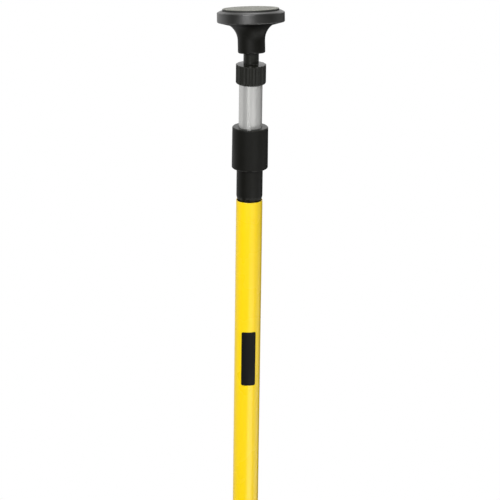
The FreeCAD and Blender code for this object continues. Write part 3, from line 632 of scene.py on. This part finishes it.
def drawn_material(name, colour, dull, smooth, rough, metallic=1.0):
    """Bare or plated metal with lines along the pole and duller streaks."""
    material, tree, shader = new_material(name)
    lines = place_group(tree, drawn_group(), line_scale=2200.0, streak_scale=440.0, stretch=0.008)
    streak = range_node(tree, lines.outputs["Streak"], STREAK_SPAN)
    tree.links.new(blend_colours(tree, streak, colour, dull), shader.inputs["Base Color"])
    roughness = range_node(tree, lines.outputs["Streak"], MOTTLE_SPAN, to=(smooth, rough))
    tree.links.new(roughness, shader.inputs["Roughness"])
    bump(tree, shader, lines.outputs["Height"], strength=0.1, distance=0.00002)
    shader.inputs["Metallic"].default_value = metallic
    return material


def oxide_material():
    look = finishes()
    return moulded_material(
        "oxide_black", look.oxide, look.oxide_rubbed,
        smooth=0.36, rough=0.48, specular=0.25, grain=1800.0, rub=0.6,
    )


def pad_material():
    look = finishes()
    # The full pale cover paints the pad's top light: a painted reflection of the white surroundings, not dust
    return moulded_material(
        "pad_grain", look.pad, look.nylon_rubbed,
        smooth=0.5, rough=0.62, specular=0.4, grain=1500.0, dust_and_sheen=1.0, rub=0.3,
    )


def boot_material():
    look = finishes()
    return moulded_material(
        "foot_grain", look.boot, look.nylon_rubbed,
        smooth=0.55, rough=0.7, specular=0.35, grain=1300.0, dust_and_sheen=0.25, rub=0.35,
    )


def film_material():
    look = finishes()
    return moulded_material(
        "label_film", look.film, look.film_scuff,
        smooth=0.5, rough=0.62, specular=0.1, grain=900.0, rub=0.5,
    )


def acetal_material():
    """Pale acetal with greyer patches where it was handled."""
    look = finishes()
    material, tree, shader = new_material("acetal")
    surface = place_group(tree, grain_group(), grain_scale=1800.0, mottle_scale=160.0)
    patches = range_node(tree, surface.outputs["Mottle"], HANDLED_SPAN)
    tree.links.new(blend_colours(tree, patches, look.acetal, look.acetal_shade), shader.inputs["Base Color"])
    roughness = range_node(tree, surface.outputs["Mottle"], MOTTLE_SPAN, to=(0.35, 0.5))
    tree.links.new(roughness, shader.inputs["Roughness"])
    bump(tree, shader, surface.outputs["Height"], strength=0.15, distance=0.00003)
    return material


class SUPPORTPOLE_OT_yellow_tube(bpy.types.Operator):
    """Make the yellow outer tube"""

    bl_idname = "support_pole.yellow_tube"
    bl_label = "Yellow Tube"
    bl_options = {"REGISTER", "UNDO"}

    def execute(self, context):
        shapes = context.scene.support_pole_shapes
        bore, outer, low, high = turned_size("outer_tube")
        edge = shapes.metal_edge
        lip = high - shapes.seam_drop
        corners = [(bore, low, 0.0), (outer, low, edge), (outer, lip, edge), (bore, lip, edge)]
        mesh = turned_mesh(corners, shapes.segments)
        add_piece("yellow_tube", mesh, yellow_material(), "lower_pole", ["outer_tube"])
        return {"FINISHED"}


class SUPPORTPOLE_OT_blank_label(bpy.types.Operator):
    """Make the blank black label on the yellow tube"""

    bl_idname = "support_pole.blank_label"
    bl_label = "Blank Label"
    bl_options = {"REGISTER", "UNDO"}

    across = 24
    corner_rows = 6

    def rows(self, label):
        """(height from the label's middle, half width) of each row, with rounded corners."""
        half_width, half_height = label.width / 2, label.height / 2
        lower = []
        for step in range(self.corner_rows + 1):
            swing = math.pi / 2 * step / self.corner_rows
            inset = label.corner * (1 - math.sin(swing))
            lower.append((-half_height + label.corner * (1 - math.cos(swing)), half_width - inset))
        upper = [(-height, width) for height, width in reversed(lower)]
        return lower + upper

    def execute(self, context):
        label = context.scene.support_pole_label
        tube = turned_size("outer_tube")
        radius = tube.outer
        middle = tube.high - label.drop - label.height / 2
        front = -math.pi / 2 + label.heading
        mesh = bmesh.new()
        layer = mesh.verts.layers.float.new(EDGE_LAYER)
        rows = self.rows(label)
        sheets = []
        for reach in (radius + label.lift, radius + label.film):
            sheet = []
            for row, (height, half_width) in enumerate(rows):
                line = []
                for column in range(self.across + 1):
                    angle = front + half_width * (2 * column / self.across - 1) / radius
                    vertex = mesh.verts.new(
                        (reach * math.cos(angle), reach * math.sin(angle), middle + height)
                    )
                    rim = row in (0, len(rows) - 1) or column in (0, self.across)
                    vertex[layer] = 1.0 if rim else 0.0
                    line.append(vertex)
                sheet.append(line)
            sheets.append(sheet)
        for sheet in sheets:
            for low, high in zip(sheet, sheet[1:]):
                for left, right, above_left, above_right in zip(low, low[1:], high, high[1:]):
                    mesh.faces.new((left, right, above_right, above_left))
        rims = [self.rim(sheet) for sheet in sheets]
        for index, vertex in enumerate(rims[0]):
            following = (index + 1) % len(rims[0])
            mesh.faces.new((vertex, rims[0][following], rims[1][following], rims[1][index]))
        bmesh.ops.recalc_face_normals(mesh, faces=mesh.faces)
        add_piece("blank_label", mesh, film_material(), "lower_pole")
        return {"FINISHED"}

    def rim(self, sheet):
        """The vertices round a sheet, in order."""
        right = [line[-1] for line in sheet[1:-1]]
        left = [line[0] for line in reversed(sheet[1:-1])]
        return sheet[0] + right + sheet[-1][::-1] + left


class SUPPORTPOLE_OT_silver_tube(bpy.types.Operator):
    """Make the zinc plated inner tube"""

    bl_idname = "support_pole.silver_tube"
    bl_label = "Silver Tube"
    bl_options = {"REGISTER", "UNDO"}

    def execute(self, context):
        shapes = context.scene.support_pole_shapes
        look = finishes()
        bore, outer, low, high = turned_size("inner_tube")
        edge = shapes.metal_edge
        corners = [(bore, low, edge), (outer, low, edge), (outer, high, edge), (bore, high, edge)]
        mesh = turned_mesh(corners, shapes.segments)
        zinc = drawn_material(
            "zinc_plate", look.zinc, look.zinc_dull, smooth=0.3, rough=0.38, metallic=0.5
        )
        add_piece("silver_tube", mesh, zinc, "upper_pole", ["inner_tube"])
        return {"FINISHED"}


class SUPPORTPOLE_OT_twist_lock(bpy.types.Operator):
    """Make the lock's body and its twist collar"""

    bl_idname = "support_pole.twist_lock"
    bl_label = "Twist Lock"
    bl_options = {"REGISTER", "UNDO"}

    def execute(self, context):
        shapes = context.scene.support_pole_shapes
        head = context.scene.support_pole_head
        edge = shapes.moulded_edge
        bore, outer, low, high = turned_size("lock_collar")
        body_bore, thread, body_low, body_high = turned_size("lock_body")
        wide = thread + shapes.thread_clearance
        cap = high - shapes.collar_cap
        corners = [
            (wide, low, edge),
            (outer, low, shapes.collar_edge),
            (outer - shapes.collar_taper, high, shapes.collar_edge),
            (bore, high, shapes.metal_edge),
            (bore, cap, 0.0),
            (wide, cap, 0.0),
        ]
        mesh = turned_mesh(corners, shapes.segments)
        add_piece("twist_collar", mesh, nylon_material(), "collar", ["lock_collar"])
        tube = turned_size("outer_tube")
        lip = tube.high - shapes.seam_drop
        spigot = tube.bore - head.seat_gap
        groove = lip - shapes.throat_depth
        ferrule = shapes.ferrule_radius
        throat = ferrule - shapes.ferrule_inset
        shoulder = low + shapes.neck_rise
        corners = [
            (body_bore, body_low, 0.0),
            (spigot, body_low, edge),
            (spigot, groove, 0.0),
            (throat, groove, 0.0),
            (throat, lip, 0.0),
            (ferrule, lip + shapes.ferrule_inset, shapes.ferrule_round),
            (ferrule, shoulder, 0.0),
            (thread, shoulder, edge),
            (thread, body_high, edge),
            (body_bore, body_high, 0.0),
        ]
        mesh = turned_mesh(corners, shapes.segments)
        add_piece("lock_ferrule", mesh, nylon_material(), "lower_pole", ["lock_body"])
        return {"FINISHED"}


class SUPPORTPOLE_OT_knob(bpy.types.Operator):
    """Make the fluted adjusting knob"""

    bl_idname = "support_pole.knob"
    bl_label = "Adjusting Knob"
    bl_options = {"REGISTER", "UNDO"}

    flute_samples = 20

    def execute(self, context):
        shapes = context.scene.support_pole_shapes
        head = context.scene.support_pole_head
        hole, outer, low, high = turned_size("adjusting_knob")
        skirt = turned_size("inner_tube").outer + shapes.thread_clearance
        floor = turned_size("knob_nut").low - head.seat_gap
        edge = shapes.moulded_edge
        corners = [
            (skirt, low, edge),
            (outer, low, shapes.knob_lower_edge),
            (outer, high - shapes.knob_crown, edge),
            (hole, high, edge),
            (hole, floor, 0.0),
            (skirt, floor, 0.0),
        ]
        centre = outer + shapes.flute_radius - shapes.flute_depth
        pitch = 2 * math.pi / shapes.flutes

        def fluted(angle, radius, height):
            across = (angle + pitch / 2) % pitch - pitch / 2
            spread = shapes.flute_radius**2 - (centre * math.sin(across)) ** 2
            wall = centre * math.cos(across) - math.sqrt(spread) if spread > 0 else outer
            return min(radius, wall)

        mesh = turned_mesh(corners, shapes.flutes * self.flute_samples, shaped=fluted)
        add_piece("fluted_knob", mesh, knob_material(), "knob", ["adjusting_knob"])
        return {"FINISHED"}


class SUPPORTPOLE_OT_spindle(bpy.types.Operator):
    """Make the spindle with its thread, flats and neck"""

    bl_idname = "support_pole.spindle"
    bl_label = "Spindle"
    bl_options = {"REGISTER", "UNDO"}

    rows_per_turn = 14
    crest_gain = 1.6

    def execute(self, context):
        shapes = context.scene.support_pole_shapes
        head = context.scene.support_pole_head
        _, neck, low, high = turned_size("spindle")
        place = head_place()
        mouth = place.translation.z + turned_size("head_plate", place).low
        seat = turned_size("adjusting_knob").high + shapes.neck_seat
        shoulder = turned_size("swivel_ball").low - head.seat_gap
        rod, edge = shapes.rod_radius, shapes.metal_edge
        rows = math.ceil((seat - low) / shapes.thread_pitch * self.rows_per_turn)
        corners = [(0.0, low, 0.0)]
        corners += [(rod, low + (seat - low) * row / rows, 0.0) for row in range(rows + 1)]
        corners += [
            (neck, seat, edge),
            (neck, mouth, edge),
            (shapes.waist_radius, mouth + shapes.waist_taper, edge),
            (shapes.waist_radius, shoulder, edge),
            (shapes.spigot_radius, shoulder, 0.0),
            (shapes.spigot_radius, high, edge),
            (0.0, high, 0.0),
        ]
        flat_top = low + shapes.flat_length

        def threaded(angle, radius, height):
            if radius != rod:
                return radius
            turn = (height - low) / shapes.thread_pitch - angle / (2 * math.pi)
            ridge = 0.5 + 0.5 * math.cos(2 * math.pi * turn)
            crest = min(1.0, self.crest_gain * ridge)
            reach = rod - shapes.thread_depth * (1.0 - crest)
            if height < flat_top:
                reach = min(reach, shapes.rod_flat / max(abs(math.cos(angle)), ON_AXIS))
            return reach

        mesh = turned_mesh(corners, shapes.segments, closed=False, shaped=threaded)
        add_piece("screw_spindle", mesh, oxide_material(), "screw", ["spindle"])
        return {"FINISHED"}


class SUPPORTPOLE_OT_head(bpy.types.Operator):
    """Make the trumpet-shaped head plate"""

    bl_idname = "support_pole.head"
    bl_label = "Head Plate"
    bl_options = {"REGISTER", "UNDO"}

    def execute(self, context):
        shapes = context.scene.support_pole_shapes
        head = context.scene.support_pole_head
        place = head_place()
        _, rim, mouth, top = turned_size("head_plate", place)
        pad = turned_size("pad_disc", place)
        edge = shapes.moulded_edge
        seat = turned_size("swivel_ball", place).outer + head.ball_gap
        bore = turned_size("socket_ring", place).outer + head.seat_gap
        pocket = pad.outer + head.seat_gap
        ledge = pad.low - head.seat_gap
        swing = math.acos(1 - (head.trumpet_reach - head.barrel_radius) / head.trumpet)
        bend = head.barrel_rise + head.trumpet * math.tan(swing / 2)
        trumpet_top = head.barrel_rise + head.trumpet * math.sin(swing)
        rim_low = trumpet_top + head.rim_slope
        corners = [
            (0.0, seat, 0.0),
            (seat, seat, seat),
            (seat, 0.0, 0.0),
            (bore, 0.0, 0.0),
            (bore, mouth, edge),
            (head.barrel_radius, mouth, head.mouth_edge),
            (head.barrel_radius, bend, head.trumpet),
            (head.trumpet_reach, trumpet_top, edge),
            (rim, rim_low, head.rim_edge),
            (rim, rim_low + head.rim_height, head.rim_edge),
            (rim - head.bevel_width, top, edge),
            (pocket, top, 0.0),
            (pocket, ledge, 0.0),
            (head.hollow_radius, ledge, 0.0),
            (head.hollow_radius, head.hollow_floor, edge),
            (0.0, head.hollow_floor, 0.0),
        ]
        mesh = turned_mesh(corners, shapes.segments, closed=False, place=place)
        piece = add_piece("trumpet_head", mesh, nylon_material(), "head", ["head_plate"])
        # The rim's faces get a lighter, shinier copy of the nylon, which paints a highlight onto the rim
        piece.data.materials.append(rim_highlight_material())
        rim_slot = len(piece.data.materials) - 1
        to_head = place.inverted()
        for face in piece.data.polygons:
            spot = to_head @ face.center
            if spot.z > rim_low and math.hypot(spot.x, spot.y) > pad.outer:
                face.material_index = rim_slot
        return {"FINISHED"}


class SUPPORTPOLE_OT_pad(bpy.types.Operator):
    """Make the rubber pad on the head"""

    bl_idname = "support_pole.pad"
    bl_label = "Rubber Pad"
    bl_options = {"REGISTER", "UNDO"}

    def execute(self, context):
        shapes = context.scene.support_pole_shapes
        head = context.scene.support_pole_head
        place = head_place()
        _, outer, low, high = turned_size("pad_disc", place)
        corners = [
            (0.0, low, 0.0),
            (outer, low, head.pad_edge),
            (outer, high, head.pad_edge),
            (0.0, high, 0.0),
        ]
        mesh = turned_mesh(corners, shapes.segments, closed=False, place=place)
        add_piece("rubber_pad", mesh, pad_material(), "head", ["pad_disc"])
        return {"FINISHED"}


class SUPPORTPOLE_OT_foot(bpy.types.Operator):
    """Make the rubber foot with its tread rings"""

    bl_idname = "support_pole.foot"
    bl_label = "Rubber Foot"
    bl_options = {"REGISTER", "UNDO"}

    def execute(self, context):
        shapes = context.scene.support_pole_shapes
        head = context.scene.support_pole_head
        _, base, low, high = turned_size("foot_boot")
        plug_seat = turned_size("foot_plug").low
        bore = turned_size("outer_tube").outer + head.seat_gap
        sleeve, lip = head.boot_sleeve, head.boot_lip
        tread = low + head.tread_depth
        corners = [(0.0, low, 0.0)]
        for inner in (head.tread_inner, head.tread_outer):
            outer = inner + head.tread_width
            corners += [(inner, low, 0.0), (inner, tread, 0.0), (outer, tread, 0.0), (outer, low, 0.0)]
        corners += [
            (base, low, lip),
            (base, low + head.boot_edge, lip),
            (sleeve, low + head.boot_edge, head.boot_round),
            (sleeve, high, lip),
            (bore, high, 0.0),
            (bore, plug_seat, 0.0),
            (0.0, plug_seat, 0.0),
        ]
        mesh = turned_mesh(corners, shapes.segments, closed=False)
        add_piece("rubber_foot", mesh, boot_material(), "lower_pole", ["foot_boot"])
        return {"FINISHED"}


class SUPPORTPOLE_OT_inner_pieces(bpy.types.Operator):
    """Finish the pieces inside the pole, which keep their own solids"""

    bl_idname = "support_pole.inner_pieces"
    bl_label = "Inner Pieces"
    bl_options = {"REGISTER", "UNDO"}

    def execute(self, context):
        look = finishes()
        steel = drawn_material("plated_steel", look.steel, look.steel_dull, smooth=0.25, rough=0.36)
        brass = drawn_material("turned_brass", look.brass, look.brass_dull, smooth=0.25, rough=0.38)
        materials = {
            "black_nylon": nylon_material(),
            "pale_acetal": acetal_material(),
            "bright_steel": steel,
            "nut_brass": brass,
        }
        for piece in frame["record"]["subparts"]:
            node = frame["nodes"][piece["node"]]
            if node.hide_render:
                continue
            node.data.materials.clear()
            node.data.materials.append(materials[piece["material_slot"]])
        return {"FINISHED"}


class SUPPORTPOLE_OT_stage(bpy.types.Operator):
    """Set up the floor, the surroundings, the lamps and the camera"""

    bl_idname = "support_pole.stage"
    bl_label = "Stage"
    bl_options = {"REGISTER", "UNDO"}

    def execute(self, context):
        scene = context.scene
        stage = scene.support_pole_stage
        self.add_floor(scene, stage)
        self.add_surroundings(scene, stage)
        for lamp in LAMPS:
            self.add_lamp(scene, lamp, getattr(stage, lamp.name + "_power"))
        self.add_camera(scene, stage)
        scene.view_settings.view_transform = "Standard"
        return {"FINISHED"}

    def add_floor(self, scene, stage):
        """A floor that is white to the camera apart from the shadow, and dim in most reflections."""
        half = stage.floor_size / 2
        corners = [(-half, -half, 0.0), (half, -half, 0.0), (half, half, 0.0), (-half, half, 0.0)]
        data = bpy.data.meshes.new("floor")
        data.from_pydata(corners, [], [(0, 1, 2, 3)])
        floor = bpy.data.objects.new("floor", data)
        scene.collection.objects.link(floor)
        material, tree, shader = new_material("pale_floor")
        data.materials.append(material)
        shader.inputs["Base Color"].default_value = stage.floor_colour
        shader.inputs["Roughness"].default_value = 0.9
        shader.inputs["Specular IOR Level"].default_value = 0.0
        spot = object_coordinates(tree)
        distance = add_node(tree, "ShaderNodeVectorMath", operation="LENGTH")
        tree.links.new(spot, distance.inputs[0])
        reach, whites = (0.0, stage.shadow_reach), (stage.foot_white, 1.0)
        far = range_node(tree, distance.outputs["Value"], reach, to=whites)
        away = add_node(tree, "ShaderNodeVectorMath", operation="NORMALIZE")
        tree.links.new(spot, away.inputs[0])
        side = add_node(tree, "ShaderNodeVectorMath", operation="DOT_PRODUCT")
        tree.links.new(away.outputs["Vector"], side.inputs[0])
        side.inputs[1].default_value = (math.sin(stage.white_heading), -math.cos(stage.white_heading), 0.0)
        lights = (stage.floor_light, stage.white_light)
        shown = range_node(tree, side.outputs["Value"], WHITE_SPAN, to=lights)
        white = add_node(tree, "ShaderNodeEmission")
        from_camera = add_node(tree, "ShaderNodeLightPath").outputs["Is Camera Ray"]
        tree.links.new(math_node(tree, "MAXIMUM", from_camera, shown), white.inputs["Strength"])
        mix = add_node(tree, "ShaderNodeMixShader")
        near = math_node(tree, "MULTIPLY", from_camera, math_node(tree, "SUBTRACT", 1.0, far))
        tree.links.new(math_node(tree, "SUBTRACT", self.background_rays(tree), near), mix.inputs["Fac"])
        tree.links.new(shader.outputs["BSDF"], mix.inputs[1])
        tree.links.new(white.outputs["Emission"], mix.inputs[2])
        tree.links.new(mix.outputs["Shader"], tree.nodes["Material Output"].inputs["Surface"])

    def background_rays(self, tree):
        """1 for rays that see the background: from the camera, and reflected or let through."""
        rays = add_node(tree, "ShaderNodeLightPath").outputs
        mirrored = math_node(tree, "MAXIMUM", rays["Is Glossy Ray"], rays["Is Transmission Ray"])
        return math_node(tree, "MAXIMUM", rays["Is Camera Ray"], mirrored)

    def add_surroundings(self, scene, stage):
        """An evenly lit room, white to the camera and dim in front and overhead in reflections."""
        world = bpy.data.worlds.new("surroundings")
        scene.world = world
        world.use_nodes = True
        tree = world.node_tree
        light = tree.nodes["Background"]
        light.inputs["Color"].default_value = (1.0, 1.0, 1.0, 1.0)
        ahead = add_node(tree, "ShaderNodeSeparateXYZ")
        tree.links.new(add_node(tree, "ShaderNodeTexCoord").outputs["Generated"], ahead.inputs["Vector"])
        behind = range_node(tree, ahead.outputs["Y"], BEHIND_SPAN, to=(stage.front_light, 1.0))
        overhead = range_node(tree, ahead.outputs["Z"], OVERHEAD_SPAN, to=(1.0, stage.overhead_share))
        mirrored = math_node(tree, "MULTIPLY", behind, overhead)
        from_camera = add_node(tree, "ShaderNodeLightPath").outputs["Is Camera Ray"]
        seen = math_node(tree, "MAXIMUM", from_camera, mirrored)
        rays = self.background_rays(tree)
        lit = math_node(tree, "MULTIPLY", math_node(tree, "SUBTRACT", 1.0, rays), stage.ambient)
        shown = math_node(tree, "MULTIPLY", rays, seen)
        tree.links.new(math_node(tree, "ADD", lit, shown), light.inputs["Strength"])

    def add_lamp(self, scene, lamp, power):
        data = bpy.data.lights.new(lamp.name, "AREA")
        data.shape = "RECTANGLE"
        data.size, data.size_y = lamp.width, lamp.height
        data.energy = power
        heading = math.radians(lamp.heading)
        place = Vector((math.sin(heading) * lamp.distance, -math.cos(heading) * lamp.distance, lamp.level))
        holder = bpy.data.objects.new(lamp.name, data)
        holder.location = place
        aim = Vector((0.0, 0.0, lamp.aim))
        holder.rotation_euler = (aim - place).to_track_quat("-Z", "Y").to_euler()
        holder.visible_diffuse = not lamp.card
        scene.collection.objects.link(holder)

    def add_camera(self, scene, stage):
        data = bpy.data.cameras.new("camera")
        data.lens = stage.focal_pixels / IMAGE_WIDTH * data.sensor_width
        camera = bpy.data.objects.new("camera", data)
        place = Vector((stage.camera_side, -stage.camera_distance, stage.camera_height))
        aim = Vector((stage.camera_side, 0.0, stage.aim_height))
        turn = (aim - place).to_track_quat("-Z", "Y").to_matrix().to_4x4()
        camera.matrix_world = Matrix.Translation(place) @ turn @ Matrix.Rotation(stage.roll, 4, "Z")
        scene.collection.objects.link(camera)
        scene.camera = camera


OPERATORS = (
    SUPPORTPOLE_OT_yellow_tube,
    SUPPORTPOLE_OT_blank_label,
    SUPPORTPOLE_OT_silver_tube,
    SUPPORTPOLE_OT_twist_lock,
    SUPPORTPOLE_OT_knob,
    SUPPORTPOLE_OT_spindle,
    SUPPORTPOLE_OT_head,
    SUPPORTPOLE_OT_pad,
    SUPPORTPOLE_OT_foot,
    SUPPORTPOLE_OT_inner_pieces,
    SUPPORTPOLE_OT_stage,
)


class SUPPORTPOLE_PT_sidebar(bpy.types.Panel):
    """Lists the pieces of the support pole and their sizes and colours"""

    bl_idname = "SUPPORTPOLE_PT_sidebar"
    bl_label = "Support Pole"
    bl_space_type = "VIEW_3D"
    bl_region_type = "UI"
    bl_category = "Support Pole"

    def draw(self, context):
        for operator in OPERATORS:
            self.layout.operator(operator.bl_idname)
        for name in SETTINGS:
            box = self.layout.box()
            settings = getattr(context.scene, name)
            for prop in settings.bl_rna.properties:
                if prop.identifier not in ("rna_type", "name"):
                    box.prop(settings, prop.identifier)


SETTINGS = {
    "support_pole_shapes": SUPPORTPOLE_PG_shapes,
    "support_pole_head": SUPPORTPOLE_PG_head,
    "support_pole_label": SUPPORTPOLE_PG_label,
    "support_pole_finishes": SUPPORTPOLE_PG_finishes,
    "support_pole_stage": SUPPORTPOLE_PG_stage,
}
CLASSES = (*SETTINGS.values(), *OPERATORS, SUPPORTPOLE_PT_sidebar)


def register():
    for kind in CLASSES:
        bpy.utils.register_class(kind)
    for name, group in SETTINGS.items():
        setattr(bpy.types.Scene, name, PointerProperty(type=group))


def unregister():
    for name in SETTINGS:
        delattr(bpy.types.Scene, name)
    for kind in reversed(CLASSES):
        bpy.utils.unregister_class(kind)


def main():
    register()
    bpy.ops.support_pole.yellow_tube()
    bpy.ops.support_pole.blank_label()
    bpy.ops.support_pole.silver_tube()
    bpy.ops.support_pole.twist_lock()
    bpy.ops.support_pole.knob()
    bpy.ops.support_pole.spindle()
    bpy.ops.support_pole.head()
    bpy.ops.support_pole.pad()
    bpy.ops.support_pole.foot()
    bpy.ops.support_pole.inner_pieces()
    bpy.ops.support_pole.stage()


if __name__ == "__main__":
    main()
